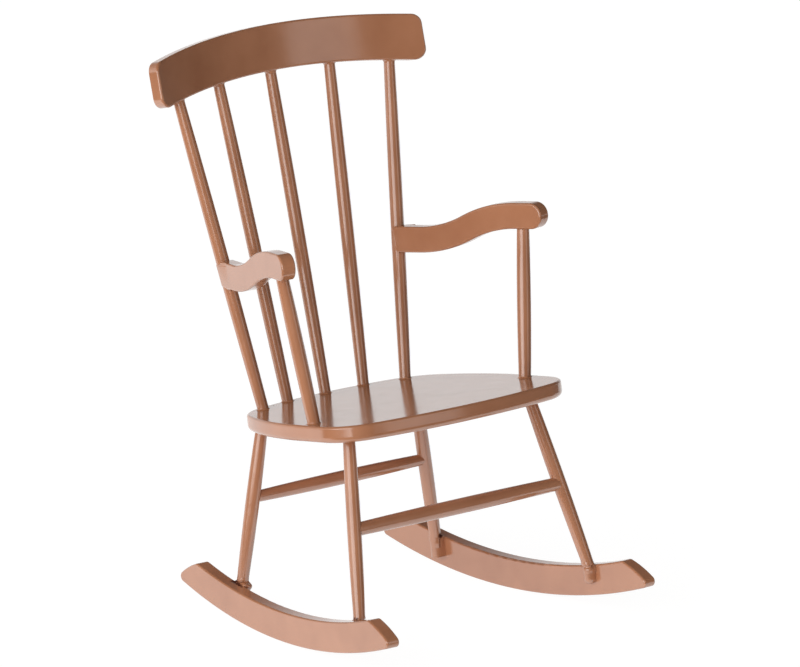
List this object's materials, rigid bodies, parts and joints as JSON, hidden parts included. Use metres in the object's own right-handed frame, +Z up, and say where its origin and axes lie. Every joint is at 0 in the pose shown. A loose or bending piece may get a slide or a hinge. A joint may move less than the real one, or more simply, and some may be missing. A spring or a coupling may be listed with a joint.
{
  "type": "rocking chair",
  "caption": "Doll-size metal rocking chair: raked spindles under a bowed crest rail, S-shaped arms on posts, flat seat, and splayed legs that stand on lugs of curved rockers.",
  "frame": {"origin": "point of the floor between the rockers' soles, straight below the chair's centre of mass at rest", "axes": "+Z up, front along -Y, +X to the sitter's left; the chair stands at the pitch at which it comes to rest"},
  "size_m": [0.0684, 0.0868, 0.1145],
  "materials": {
    "enamel": "glossy enamel, one terracotta brown all over, with a fine orange peel"
  },
  "bodies": {
    "root": {"arm_left": "enamel", "arm_post_left": "enamel", "arm_post_right": "enamel", "arm_right": "enamel", "crest_rail": "enamel", "leg_front_left": "enamel", "leg_front_right": "enamel", "leg_rear_left": "enamel", "leg_rear_right": "enamel", "rocker_left": "enamel", "rocker_right": "enamel", "seat": "enamel", "spindle_1": "enamel", "spindle_2": "enamel", "spindle_3": "enamel", "spindle_4": "enamel", "spindle_5": "enamel", "stretcher_front": "enamel", "stretcher_rear": "enamel"}
  },
  "joints": []
}
